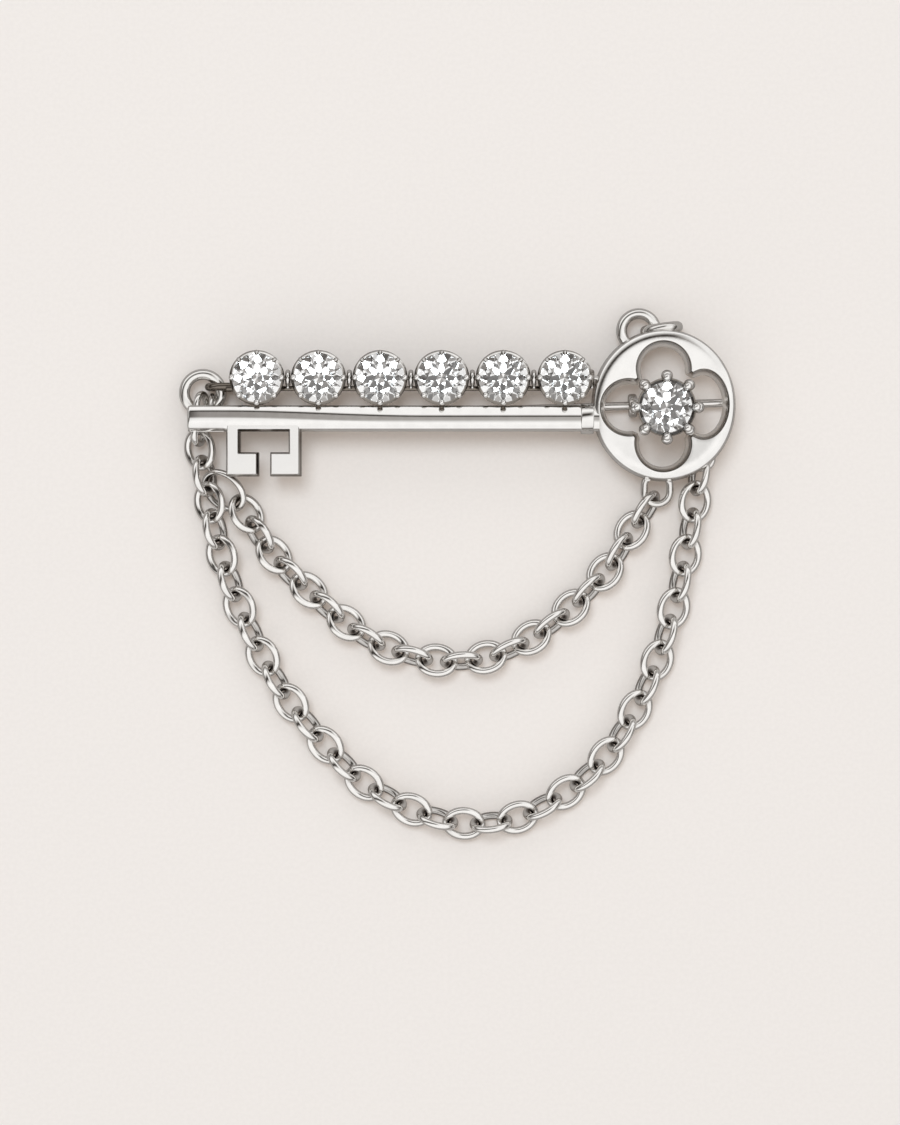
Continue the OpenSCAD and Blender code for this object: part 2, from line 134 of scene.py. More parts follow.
def metal(name, tone, shade_and_patch_tone, rough, satin, ripple, grain, painted_shade_heights=None, edge=None, filed=None):
    """Polished metal: slow ripples of hand polishing, fine wipe marks and a patchy sheen, with
    random dull patches that take a little of the dark tone. It lights what lies round it a little
    warmly.
    The two heights, in millimetres, paint shade: below the first the metal takes its dark tone.
    The ramp gives the share of the bright tone along the U of the piece's own map, to paint shade
    there, and filed the shine that is left where that U nears 1."""
    made = bpy.data.materials.new(name)
    made.use_nodes = True
    tree = made.node_tree
    shader = tree.nodes["Principled BSDF"]
    shader.inputs["Metallic"].default_value = 1.0
    place = Shade(tree).node("ShaderNodeTexCoord", out="Object")
    slow = place.node("ShaderNodeTexNoise", None, {"Vector": place, "Scale": 300.0, "Detail": 1.0})
    along = place.node("ShaderNodeMapping", None, {"Vector": place, "Scale": (0.06, 1.0, 1.0)})
    wipes = place.node(
        "ShaderNodeTexNoise", None, {"Vector": along, "Scale": 9000.0, "Detail": 3.0}
    )
    patches = place.node(
        "ShaderNodeTexNoise", None, {"Vector": place, "Scale": 900.0, "Detail": 4.0}
    )
    sheen = patches.ease(0.35, 0.7)
    rough_map = rough + satin * sheen + grain * (wipes - 0.5)
    tree.links.new(rough_map.socket, shader.inputs["Roughness"])
    mask = patches.ease(0.2, 0.75, 0.9, 1.0)
    # Painted shade: darker below the given heights.
    if painted_shade_heights:
        height = place.node("ShaderNodeSeparateXYZ", None, {0: place}, out="Z")
        mask = mask * height.ease(painted_shade_heights[0] * MM, painted_shade_heights[1] * MM)
    # Painted shade along the U of the piece's own map.
    if edge:
        own = place.node("ShaderNodeUVMap")
        across = place.node("ShaderNodeSeparateXYZ", None, {0: own}, out="X")
        mask = mask * place.node("ShaderNodeValToRGB", {"stops": edge}, {0: across})
    if filed:
        shine = across.ease(0.8, 1.0, 1.0, filed)
        tree.links.new(shine.socket, shader.inputs["Metallic"])
    bounced = place.node("ShaderNodeLightPath", out="Is Diffuse Ray")
    own_tone = blend_tones(mask, shade_and_patch_tone, tone)
    colour = place.node(
        "ShaderNodeMix", {"data_type": "RGBA"},
        {0: bounced, 6: own_tone, 7: (*bounce_tone, 1)}, out=2,
    )
    tree.links.new(colour.socket, shader.inputs["Base Color"])
    rippled = slow.node(
        "ShaderNodeBump", None, {"Height": slow, "Distance": ripple, "Strength": 1.0}
    )
    brushed = slow.node(
        "ShaderNodeBump", None,
        {"Height": wipes, "Distance": 2.5e-7, "Strength": 1.0, "Normal": rippled},
    )
    tree.links.new(brushed.socket, shader.inputs["Normal"])
    return made


def clear_hand():
    """Leaves edit mode with nothing selected, so that the next tool works on its own piece."""
    if bpy.context.object is not None and bpy.context.object.mode != "OBJECT":
        bpy.ops.object.mode_set(mode="OBJECT")
    bpy.ops.object.select_all(action="DESELECT")


def take(piece):
    """The piece alone in hand, in edit mode, with all of it selected."""
    clear_hand()
    bpy.context.view_layer.objects.active = piece
    piece.select_set(True)
    bpy.ops.object.mode_set(mode="EDIT")
    bpy.ops.mesh.select_all(action="SELECT")


def pick(kind, test):
    """In edit mode, selects the verts, edges or faces that pass the test and no others."""
    bpy.ops.mesh.select_mode(type={"verts": "VERT", "edges": "EDGE", "faces": "FACE"}[kind])
    bpy.ops.mesh.select_all(action="DESELECT")
    shape = bmesh.from_edit_mesh(bpy.context.object.data)
    for part in getattr(shape, kind):
        if test(part):
            part.select_set(True)
    bmesh.update_edit_mesh(bpy.context.object.data)


def cut(place, outward):
    """Saws off all that lies beyond a plane and closes the cut."""
    bpy.ops.mesh.select_all(action="SELECT")
    bpy.ops.mesh.bisect(
        plane_co=place, plane_no=outward, use_fill=True, clear_outer=True, threshold=1e-5
    )


def score(place, across):
    """Adds a line of edges round the piece along a plane, and takes nothing off."""
    bpy.ops.mesh.select_all(action="SELECT")
    bpy.ops.mesh.bisect(plane_co=place, plane_no=across, threshold=1e-5)


def sharp(edge, least=1.0):
    """True for an edge whose two faces meet at more than this angle, in radians."""
    return len(edge.link_faces) == 2 and edge.calc_face_angle() > least


def round_off(offset, segments):
    """Rounds the edges that are selected."""
    bpy.ops.mesh.bevel(offset=offset, segments=segments, profile=0.5, affect="EDGES")


def rod(start, end, radius, sides=32, end_radius=None):
    """A straight round rod between two points."""
    start, end = Vector(start), Vector(end)
    clear_hand()
    bpy.ops.mesh.primitive_cone_add(
        vertices=sides, radius1=radius, radius2=radius if end_radius is None else end_radius,
        depth=(end - start).length, location=(start + end) / 2,
        rotation=(end - start).to_track_quat("Z", "Y").to_euler(),
    )
    return bpy.context.object


def settle(piece):
    """Takes a piece's place into its mesh, so that its object stands at the origin."""
    bpy.context.view_layer.update()
    piece.data.transform(piece.matrix_world)
    piece.matrix_world = Matrix.Identity(4)


def solder(parts):
    """Joins the parts into one mesh."""
    clear_hand()
    for part in parts:
        part.select_set(True)
    bpy.context.view_layer.objects.active = parts[0]
    bpy.ops.object.join()
    return parts[0]


def hand_in(piece, name, node, finish, angle=38):
    """Gives a piece its finish and its name, and sets it from millimetres into the frame."""
    clear_hand()
    bpy.context.view_layer.update()
    piece.data.transform(Matrix.Scale(MM, 4) @ piece.matrix_world)
    piece.matrix_world = Matrix.Identity(4)
    piece.name = piece.data.name = name
    piece.data.materials.clear()
    piece.data.materials.append(finish)
    piece.select_set(True)
    bpy.context.view_layer.objects.active = piece
    bpy.ops.object.shade_smooth_by_angle(angle=math.radians(angle))
    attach(piece, "root")
    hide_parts(node)
    return piece


def eased(value, low, high):
    """0 below low, 1 above high and a smooth change between."""
    share = min(max((value - low) / (high - low), 0.0), 1.0)
    return share * share * (3 - 2 * share)


def shaft_height(x, across):
    """Height of the shaft's upper side, by the place along it and across it."""
    crease = crease_at_end + (crease_at_bow - crease_at_end) * eased(x, crease_from, crease_to)
    above = across - crease
    bend = max(above, 0.0)
    if abs(above) < crease_round:
        bend = (above + crease_round) ** 2 / (4 * crease_round)
    lower = side_curve * max(side_from - across, 0.0) ** 2
    lower += lower_curve * max(lower_from - across, 0.0) ** 3
    drop = lower * (wear + (1 - wear) * eased(x, worn_to, even_from))
    drop += broad_fall * max(above + broad_width, 0.0) + (steep_fall - broad_fall) * bend
    drop += upper_curve * max(across - upper_from, 0.0) ** 3
    return max(face_z - drop, flank_z)


shaft_metal = metal("shaft_rhodium", bright_tone, shadow_tone, 0.07, 0.05, 6e-6, 0.05)
shaft = rod((shaft_from, shaft_y, shaft_z), (shaft_to, shaft_y, shaft_z), shaft_r, 96)
settle(shaft)
take(shaft)
for k in range(stations):
    score((station_from + station_step * k, 0, 0), (1, 0, 0))
for k in range(worn_stations):
    score((worn_to + worn_step * k, 0, 0), (1, 0, 0))
bpy.ops.object.mode_set(mode="OBJECT")
for v in shaft.data.vertices:
    if v.co.z > shaft_z:
        v.co.z = shaft_height(v.co.x, v.co.y - shaft_y)
take(shaft)
pick("edges", lambda e: all(v.co.x < shaft_from + 0.01 for v in e.verts))
round_off(end_round, 6)
cut((0, 0, back_z), (0, 0, -1))
bpy.ops.object.mode_set(mode="OBJECT")

collar = rod((collar_from, shaft_y, shaft_z), (collar_to, shaft_y, shaft_z), collar_r, 96)
take(collar)
pick("edges", sharp)
round_off(collar_round, 4)
cut((0, 0, back_z), (0, 0, -1))
hand_in(solder([shaft, collar]), "Key_shaft", "key", shaft_metal)

# The bit: a flat plate sawn from sheet, with a window and a slot between its two feet,
# its edges broken with fine paper and its face left a little softer than the shaft.
bit_from, bit_to = -22.95, -15.45
bit_bottom, bit_top = 9.8, 15.9
bit_face, bevel_width, bevel_depth, bevel_round = 5.44, 0.2, 0.42, 0.05
# Its bevels are filed by hand, so its face lies a little off the middle. Painted shade darkens them
# below.
face_shift = (-0.08, 0.03, 0)
bit_painted_shade = (5.05, 5.42)
window = (bit_from + 1.4, bit_to - 1.25, bit_bottom + 2.4, bit_bottom + 4.5)
slot_gap = (bit_from + 3.25, bit_from + 4.4, bit_bottom, bit_bottom + 2.4)
bit_metal = metal("bit_rhodium", bright_tone, (0.32, 0.29, 0.265), 0.17, 0.08, 4e-6, 0.08,
                  bit_painted_shade)
clear_hand()
bpy.ops.mesh.primitive_plane_add(size=1)
bit = bpy.context.object
bit.data.transform(
    Matrix.Translation(((bit_from + bit_to) / 2, (bit_bottom + bit_top) / 2, back_z))
    @ Matrix.Diagonal((bit_to - bit_from, bit_top - bit_bottom, 1, 1))
)
take(bit)
for x in (window[0], window[1], slot_gap[0], slot_gap[1]):
    score((x, 0, 0), (1, 0, 0))
for y in (window[2], window[3]):
    score((0, y, 0), (0, 1, 0))


def in_opening(face):
    """True for a face in the middle of the window or of the slot."""
    x, y, _ = face.calc_center_median()
    return any(a < x < b and c < y < d for a, b, c, d in (window, slot_gap))


pick("faces", in_opening)
bpy.ops.mesh.delete(type="FACE")
bpy.ops.mesh.select_all(action="SELECT")
bpy.ops.mesh.extrude_region_move(
    TRANSFORM_OT_translate={"value": (0, 0, bit_face - bevel_depth - back_z)}
)
bpy.ops.mesh.select_all(action="SELECT")
bpy.ops.mesh.normals_make_consistent(inside=False)
bpy.ops.mesh.dissolve_limited(angle_limit=0.01)
pick("faces", lambda f: f.normal.z > 0.5)
bpy.ops.mesh.inset(thickness=bevel_width, depth=bevel_depth)
bpy.ops.transform.translate(value=face_shift)
pick("edges", lambda e: sharp(e, 0.3))
round_off(bevel_round, 3)
hand_in(bit, "Key_bit", "key", bit_metal)
clear_hand()
bpy.context.view_layer.objects.active = bit
bit.modifiers.new("even_light", "WEIGHTED_NORMAL").keep_sharp = True
bpy.ops.object.modifier_apply(modifier="even_light")

# The bow: an oval cast plate with a shallow dish that falls away to its rim, and four round
# lobes pierced with a taper, filed and polished by hand.
bow_x, bow_y = 20.9, 16.95
face_reach = (7.05, 7.45)
dish_depth = 0.35
rim_drop, rim_width, rim_curve = 0.36, 1.15, 2.4
back_flare, back_round, rim_points = 0.2, 0.2, 288
# Each lobe by its place beside the middle of the bow and its reach along X and Y. The last is the
# middle that joins the four.
lobes = [
    (3.95, 0.06, 2.55, 3.53), (-0.06, 3.65, 2.78, 2.78), (-3.55, -0.25, 2.9, 2.9),
    (-0.13, -3.86, 2.87, 2.87), (0.2, -0.3, 2.7, 2.7),
]
lobe_taper, lobe_chamfer, chamfer_depth = 0.5, 0.15, 0.11
lobe_widening, lobe_step = 0.07, 0.13
# Rings of points from the face outwards and down: insets from the rim and drops, then shares of
# the side, and at the foot insets and heights over the back.
rim_rounding = ((0.2, 0), (0.13, 0), (0.07, 0.005), (0.03, 0.025), (0.005, 0.06))
side_drop, side_shares = 0.12, (0.0, 0.3, 0.65, 1.0)
foot_rounding = ((0.03, 0.04), (0.1, 0.0))
# Rings of points from the lobes' edge down: first over the chamfer, then as shares of the wall.
chamfer = ((0.0, 0.0), (0.03, 0.004), (0.08, 0.02), (0.125, 0.055), (lobe_chamfer, chamfer_depth))
wall_shares = (0.12, 0.3, 0.55, 0.95, 1.0)
# The net of points on the face: ovals as insets and counts of points, and a grid within them,
# with the room that each keeps to the edges.
face_ovals = [(0.27, 280), (0.35, 276), (0.43, 272), (0.51, 268), (0.6, 264), (0.7, 220),
              (0.82, 180), (0.95, 150), (1.12, 130)]
oval_room, lobe_room = 2.2, 0.1
grid_x, grid_y, grid_columns, grid_rows, grid_inset, grid_room = 0.34, 0.295, 22, 25, 1, 0.1
# The tone along U paints shade: bright on the face, a painted dark line in the chamfer and
# bright again down the walls, where the metal has less shine.
chamfer_u, wall_u, wall_u_rise = 0.7, 0.72, 0.5
bow_shade_tones = [(0.0, 1.0), (0.12, 1.0), (0.25, 0.0), (0.45, 0.0), (0.66, 0.6), (1.0, 1.0)]
bow_metal = metal("bow_rhodium", bright_tone, (0.2, 0.18, 0.16), 0.11, 0.06, 7e-6, 0.05,
                  edge=bow_shade_tones, filed=0.35)


def dish_z(x, y):
    """Height of the bow's face: a shallow dish that falls away to its rim in an easy curve."""
    a, b = face_reach
    rho = max(math.hypot(x / a, y / b), 1e-6)
    inset = (1 - rho) * rho / math.hypot(x / a ** 2, y / b ** 2)
    fall = rim_drop * max(0.0, 1 - inset / rim_width) ** rim_curve
    return face_z - fall - dish_depth * max(0.0, 1 - rho * rho)


def net_tree(points):
    """A search tree over a list of points."""
    tree = KDTree(len(points))
    for k, p in enumerate(points):
        tree.insert((p.x, p.y, 0), k)
    tree.balance()
    return tree


def lobe_line():
    """The edge of all lobes together, as evenly spaced points, with its corners eased."""
    rounds = [(a, b, c + lobe_widening, d + lobe_widening) for a, b, c, d in lobes]
    fine_step, reach = 0.02, 0.25
    points = []
    for cx, cy, rx, ry in rounds:
        count = int(math.tau * ry / fine_step)
        for k in range(count):
            x = cx + rx * math.cos(math.tau * k / count)
            y = cy + ry * math.sin(math.tau * k / count)
            if all(math.hypot((x - a) / c, (y - b) / d) >= 0.99999 for a, b, c, d in rounds):
                points.append(Vector((x, y, 0)))
    tree = net_tree(points)
    line, seen, here = [points[0]], {0}, 0
    while True:
        near = [n for n in tree.find_range(points[here], reach) if n[1] not in seen]
        if not near:
            break
        here = min(near, key=lambda n: n[2])[1]
        seen.add(here)
        line.append(points[here])
    total, walked = 0.0, [0.0]
    for a, b in zip(line, line[1:] + line[:1]):
        total += (b - a).length
        walked.append(total)
    count = int(total / lobe_step)
    out, k = [], 0
    for i in range(count):
        s = total * i / count
        while walked[k + 1] < s:
            k += 1
        a, b = line[k], line[(k + 1) % len(line)]
        out.append(a.lerp(b, (s - walked[k]) / max(walked[k + 1] - walked[k], 1e-9)))
    for _ in range(2):
        out = [(out[i - 1] + 2 * out[i] + out[(i + 1) % count]) / 4 for i in range(count)]
    turn = sum(a.x * b.y - b.x * a.y for a, b in zip(out, out[1:] + out[:1]))
    return out if turn > 0 else out[::-1]


def sideways(line):
    """Unit vectors to the left of each point of a closed line."""
    out = []
    for i in range(len(line)):
        way = (line[(i + 1) % len(line)] - line[i - 1]).normalized()
        out.append(Vector((-way.y, way.x, 0)))
    return out


def rim_point(angle, inset):
    """A point of the bow's oval, moved inwards from its rim."""
    a, b = face_reach
    out = Vector((math.cos(angle) / a, math.sin(angle) / b, 0))
    return Vector((a * math.cos(angle), b * math.sin(angle), 0)) - inset * out.normalized()


def face_net():
    """The points that the bow's face needs between rim and lobes, each with the room that it
    keeps to their edges."""
    net = []
    for inset, count in face_ovals:
        for k in range(count):
            angle = math.tau * (k + 0.5 * (k % 2)) / count
            net.append((rim_point(angle, inset), oval_room / count))
    a, b = face_reach[0] - grid_inset, face_reach[1] - grid_inset
    for i in range(-grid_columns, grid_columns + 1):
        for j in range(-grid_rows, grid_rows + 1):
            p = Vector(((i + 0.5 * (j % 2)) * grid_x, j * grid_y, 0))
            if math.hypot(p.x / a, p.y / b) < 1:
                net.append((p, grid_room))
    return [(p, room) for p, room in net
            if all(math.hypot((p.x - x) / (c + lobe_room), (p.y - y) / (d + lobe_room)) > 1
                   for x, y, c, d in lobes)]


def encloses(loop, place):
    """True where a place lies inside a closed line of points."""
    inside = False
    for p, q in zip(loop, loop[1:] + loop[:1]):
        if (p.y > place.y) != (q.y > place.y):
            if place.x < p.x + (q.x - p.x) * (place.y - p.y) / (q.y - p.y):
                inside = not inside
    return inside


def bow_plate():
    """The bow as one closed shell: rim, face, pierced walls and back."""
    shell = bmesh.new()

    def oval(inset, z):
        """A ring of the shell round its rim. z is a height, or gives one for a point."""
        loop = []
        for k in range(rim_points):
            p = rim_point(math.tau * k / rim_points, inset)
            loop.append(shell.verts.new((p.x, p.y, z(p) if callable(z) else z)))
        return loop

    def bridge(a, b):
        """Faces between two rings with as many points."""
        for i in range(len(a)):
            j = (i + 1) % len(a)
            shell.faces.new((a[i], a[j], b[j], b[i]))

    def fill(outer, inner, net):
        """Faces for the flat between two rings, through the points of a net."""
        verts = outer + inner
        flat = [Vector((v.co.x, v.co.y)) for v in verts]
        bound = [(i, (i + 1) % len(outer)) for i in range(len(outer))]
        bound += [(len(outer) + (i + 1) % len(inner), len(outer) + i) for i in range(len(inner))]
        hole = flat[len(outer):]
        tree = net_tree(flat)
        for p, room in net:
            if tree.find((p.x, p.y, 0))[2] > room:
                flat.append(p.xy)
                verts.append(shell.verts.new((p.x, p.y, dish_z(p.x, p.y))))
        _, _, faces, origin, _, _ = delaunay_2d_cdt(flat, bound, [], 2, 1e-7)
        if not all(origin):
            raise RuntimeError("the bow's edges cross")
        for corners in faces:
            face = [verts[origin[k][0]] for k in corners]
            middle = sum((v.co for v in face), Vector()) / len(face)
            if not encloses(hole, middle):
                shell.faces.new(face)

    edge = [oval(inset, lambda p, drop=drop: dish_z(p.x, p.y) - drop)
            for inset, drop in rim_rounding]
    rim_z = face_z - rim_drop - side_drop
    edge += [oval(-back_flare * k, rim_z - (rim_z - back_z - back_round) * k) for k in side_shares]
    edge += [oval(inset - back_flare, back_z + rise) for inset, rise in foot_rounding]
    for a, b in zip(edge, edge[1:]):
        bridge(b, a)
    line = lobe_line()
    inward = sideways(line)
    walls, own_u = [], {}
    for offset, depth in chamfer:
        walls.append([shell.verts.new((p.x + n.x * offset, p.y + n.y * offset,
                                       dish_z(p.x, p.y) - depth))
                      for p, n in zip(line, inward)])
        for v in walls[-1]:
            own_u[v] = offset / lobe_chamfer * chamfer_u
    for k in wall_shares:
        offset = lobe_chamfer + lobe_taper * min(k, 0.96)
        walls.append([shell.verts.new((p.x + n.x * offset, p.y + n.y * offset,
                                       (dish_z(p.x, p.y) - chamfer_depth) * (1 - k) + back_z * k))
                      for p, n in zip(line, inward)])
        for v in walls[-1]:
            own_u[v] = min(wall_u + wall_u_rise * k, 1.0) if k < 1 else 0.0
    for a, b in zip(walls, walls[1:]):
        bridge(b, a)
    fill(edge[0], walls[0], face_net())
    fill(edge[-1], walls[-1], [])
    loose = [v for v in shell.verts if not v.link_faces]
    bmesh.ops.delete(shell, geom=loose, context="VERTS")
    bmesh.ops.recalc_face_normals(shell, faces=shell.faces[:])
    # The U of the map carries the painted shade of the chamfer and the walls.
    own = shell.loops.layers.uv.new("edge")
    for face in shell.faces:
        for corner in face.loops:
            corner[own].uv = (own_u.get(corner.vert, 0.0), 0.5)
    mesh = bpy.data.meshes.new("bow")
    shell.to_mesh(mesh)
    shell.free()
    piece = bpy.data.objects.new("bow", mesh)
    bpy.context.scene.collection.objects.link(piece)
    piece.location = (bow_x, bow_y, 0)
    return piece


hand_in(bow_plate(), "Bow_plate", "key", bow_metal, 32)

# The head of the bow: a bored hub on the plate, a turned ring under the stone's girdle, and
# eight stout wire prongs soldered round it, each bent over the stone and finished as a ball.
stone_x, stone_y, stone_r, stone_z = 21.1, 16.65, 2.8, 6.5
hub_top, hub_bore, hub_r, hub_round = 5.15, 1.5, 2.75, 0.08
collet = [(2.1, 5.75), (2.66, 5.75), (2.72, 5.8), (2.94, 6.42), (2.9, 6.5), (2.82, 6.5),
          (2.45, 6.36)]
prong_foot, prong_reach, prong_r = 2.3, 3.15, 0.525
shoulder_r, ball_reach, ball_z, ball_r = 0.588, 2.975, 6.88, 0.425
# Painted shade: the head's metal is darker below 6.4 mm, on the hub, the ring and the prongs' lower
# parts.
head_metal = metal("head_rhodium", (0.9, 0.89, 0.875), (0.2, 0.175, 0.15), 0.06, 0.04, 3e-6, 0.03,
                   (6.4, 7.0))


def turned(profile, rounds=96):
    """A part turned on the lathe about Z, from its closed section of (radius, height)."""
    clear_hand()
    mesh = bpy.data.meshes.new("turned")
    mesh.from_pydata(
        [(r, 0, z) for r, z in profile], [(i, (i + 1) % len(profile)) for i in range(len(profile))],
        [],
    )
    piece = bpy.data.objects.new("turned", mesh)
    bpy.context.scene.collection.objects.link(piece)
    take(piece)
    bpy.ops.mesh.spin(steps=rounds, angle=math.tau, center=(0, 0, 0), axis=(0, 0, 1))
    bpy.ops.mesh.select_all(action="SELECT")
    bpy.ops.mesh.remove_doubles(threshold=1e-4)
    bpy.ops.mesh.normals_make_consistent(inside=False)
    bpy.ops.object.mode_set(mode="OBJECT")
    return piece


def bead(at, radius, rings=14):
    """A round drop of metal."""
    clear_hand()
    bpy.ops.mesh.primitive_uv_sphere_add(
        segments=2 * rings, ring_count=rings, radius=radius, location=at
    )
    return bpy.context.object


def copy_of(piece, turn):
    """Another of the same piece with a mesh of its own, turned or moved from the first."""
    twin = piece.copy()
    twin.data = piece.data.copy()
    bpy.context.scene.collection.objects.link(twin)
    twin.matrix_world = turn @ piece.matrix_world
    return twin


hub = turned([
    (hub_bore, back_z), (hub_r - 0.03, back_z), (hub_r, back_z + 0.05),
    (hub_r, hub_top - hub_round), (hub_r - hub_round, hub_top), (hub_bore, hub_top),
])
prong = solder([
    rod((prong_foot, 0, hub_top - 0.2), (prong_reach, 0, stone_z), prong_r, 32),
    bead((prong_reach, 0, stone_z), shoulder_r, 14),
    bead((ball_reach, 0, ball_z), ball_r, 14),
])
bpy.context.view_layer.update()
prongs = [prong] + [copy_of(prong, Matrix.Rotation(math.tau * k / 8, 4, "Z")) for k in range(1, 8)]
head = solder([hub, turned(collet)] + prongs)
head.matrix_world = Matrix.Translation((stone_x, stone_y, 0))
hand_in(head, "Bow_head", "key", head_metal, 45)

# The bow's stone: a round brilliant, cut with a table, eight stars, eight kites and sixteen
# upper halves above its girdle, and sixteen lower halves and eight mains down to its point.
table_share, girdle_share, rim_share = 0.56, 0.03, 0.004
half_share, culet_share = 0.985, 0.985
crown_lean, upper_half_lean, star_lean = 34.5, 38.3, 22
main_lean, lower_half_lean = 41, 42.6
stone_glass = bpy.data.materials.new("clear_brilliant")
stone_glass.use_nodes = True
gem = stone_glass.node_tree.nodes["Principled BSDF"]
for name, value in {
    "Base Color": (1.0, 1.0, 1.0, 1), "Transmission Weight": 1.0, "IOR": 2.3, "Roughness": 0.0,
}.items():
    gem.inputs[name].default_value = value


def brilliant(r, at):
    """Saws a round brilliant out of a disc, facet by facet, about its girdle."""
    girdle, table_r, crown_foot = girdle_share * r, table_share * r, rim_share * r
    crown = (r - table_r) * math.tan(math.radians(crown_lean))
    depth = r * math.tan(math.radians(main_lean))
    stone = rod((0, 0, -depth - 0.5), (0, 0, crown + 0.5), r, 96)
    take(stone)

    def facet(azimuth, slope, reach, height, side):
        """A plane through a point at this reach and height, that leans out from the upright."""
        a, b = math.radians(azimuth), math.radians(slope)
        cut((reach * math.cos(a), reach * math.sin(a), height),
            (math.sin(b) * math.cos(a), math.sin(b) * math.sin(a), side * math.cos(b)))

    for k in range(8):
        facet(45 * k, crown_lean, r, crown_foot, 1)
        facet(45 * k, main_lean, r, -girdle, -1)
    for k in range(16):
        facet(22.5 * k + 11.25, upper_half_lean, r * half_share, crown_foot, 1)
        facet(22.5 * k + 11.25, lower_half_lean, r * half_share, -girdle, -1)
    for k in range(8):
        facet(45 * k + 22.5, star_lean, table_r * math.cos(math.pi / 8), crown, 1)
    cut((0, 0, -depth * culet_share - girdle), (0, 0, -1))
    cut((0, 0, crown), (0, 0, 1))
    bpy.ops.mesh.select_all(action="SELECT")
    bpy.ops.mesh.dissolve_limited(angle_limit=0.005)
    bpy.ops.mesh.remove_doubles(threshold=1e-4)
    bpy.ops.mesh.normals_make_consistent(inside=False)
    bpy.ops.object.mode_set(mode="OBJECT")
    stone.data.transform(Matrix.Translation(at) @ stone.matrix_world)
    stone.matrix_world = Matrix.Identity(4)
    return stone


hand_in(brilliant(stone_r, (stone_x, stone_y, stone_z)), "Bow_stone", "bow_stone",
        stone_glass, 5)

# Wire eyes soldered to the back of the key: one for each jump ring, one for the end of each
# swag, and a short peg on the bow's side that the row of stones is pushed on.
eye_metal = metal("eye_rhodium", (0.8, 0.785, 0.765), (0.34, 0.31, 0.285), 0.09, 0.07, 4e-6, 0.04)


def wire_loop(length, width, wire, rounds=56, sides=20):
    """A closed wire link along X: a ring whose two halves are drawn apart."""
    clear_hand()
    bpy.ops.mesh.primitive_torus_add(
        major_radius=(width - wire) / 2, minor_radius=wire / 2, major_segments=rounds,
        minor_segments=sides,
    )
    loop = bpy.context.object
    if length > width:
        take(loop)
        for side in (1, -1):
            pick("verts", lambda v: v.co.x * side > 1e-4)
            bpy.ops.transform.translate(value=(side * (length - width) / 2, 0, 0))
        bpy.ops.object.mode_set(mode="OBJECT")
    return loop


def set_at(piece, at, *turns):
    """Turns a piece about the named axes, first one last, and puts it in its place."""
    move = Matrix.Translation(at)
    for angle, axis in turns:
        move = move @ Matrix.Rotation(math.radians(angle), 4, axis)
    piece.matrix_world = move @ piece.matrix_world
    return piece


row_y, row_end_x, joiner_z = 19.675, 13.68, 4.1
chain_z = 1.7
ring_eye_at, top_eye_at = (-24.55, 16.7, 1.95), (20.78, 24.7, 2.17)
inner_eye_at, outer_eye_at = (20.35, 8.6, chain_z), (24.89, 11.7, chain_z)
post_way, post_reach, post_r, post_sink = 79, 1.09, 0.45, 0.2
leg_ways, leg_reach, leg_y, leg_r = (40, 140), 1.3, 0.25, 0.35
peg_from, peg_to, peg_r = row_end_x - 0.55, row_end_x + 0.9, 0.22


def post(at, way, reach, radius):
    """An upright wire beside a place, from the chain's height up into the key's back."""
    a = math.radians(way)
    foot = (at[0] + reach * math.cos(a), at[1] + reach * math.sin(a))
    return rod((*foot, chain_z), (*foot, back_z + post_sink), radius, 32)


eyes = [
    set_at(wire_loop(3.1, 3.1, 0.5), ring_eye_at, (90, "Y")),
    set_at(wire_loop(4.35, 4.3, 1.1), top_eye_at, (8, "Z"), (90, "X")),
    set_at(wire_loop(3.8, 3.3, 0.7), inner_eye_at, (90, "Z")),
    set_at(wire_loop(2.78, 2.78, 0.6), outer_eye_at),
    post(outer_eye_at, post_way, post_reach, post_r),
    rod((peg_from, row_y, joiner_z), (peg_to, row_y, joiner_z), peg_r, 24),
]
for leg_way in leg_ways:
    leg_at = (inner_eye_at[0], inner_eye_at[1] + leg_y)
    eyes.append(post(leg_at, leg_way, leg_reach, leg_r))
hand_in(solder(eyes), "Key_eyes", "key", eye_metal, 50)

# The row: six eight-prong settings on one rail. Each is a foot ring and a flared gallery wall
# with eight wire prongs, and upright wire rings join the settings where they meet.
row_x, row_pitch, row_r, row_z = -19.9, 6.17, 2.475, 5.3
joiner_r, joiner_wire = 0.85, 0.5
bar_start, bar_past, bar_z, bar_r = 2.2, 0.885, 4.45, 0.25
drop_r, drop_y, drop_z = 0.2, -0.93, 0.3
foot_z = 2.7
foot_ring = [(1.04, foot_z), (1.6, foot_z), (1.66, foot_z + 0.06), (1.784, 3.393), (1.2, 3.393)]
gallery = [(1.93, 4.15), (2.3, 4.15), (2.38, 4.2), (2.74, 4.86), (2.76, 4.92), (2.73, 4.97),
           (2.4, 5.12), (2.3, 5.06)]
claw_foot, claw_top = (1.634, 0, 3.0), (2.485, 0, 5.57)
claw_r, claw_ball_r = 0.25, 0.3
tip_foot, tip_end, tip_r, tip_end_r = (2.6, 0, 5.4), (2.08, 0, 5.62), 0.2, 0.03
bend_at, bend_low, bend_r, bent_wire_r = (2.55, 0, 5.4), (2.45, 0, 5.42), 0.21, 0.24
rail_from, rail_to, rail_y = -23.1, row_x + 5 * row_pitch, row_y - 1
rail_width, rail_low, rail_high, rail_round = 0.5, foot_z + 0.05, foot_z + 0.65, 0.1
loop_from, loop_to, loop_y = -25.3, row_x - row_r * 0.55, rail_y + 0.19
loop_width, loop_wire = 3.2, 0.8
wall_shade_low, wall_shade_high, wall_shade_in, wall_shade_out = 4.1, 5.2, 1.9, 2.8
joiner_from, joiner_reach = 2.8, 0.9
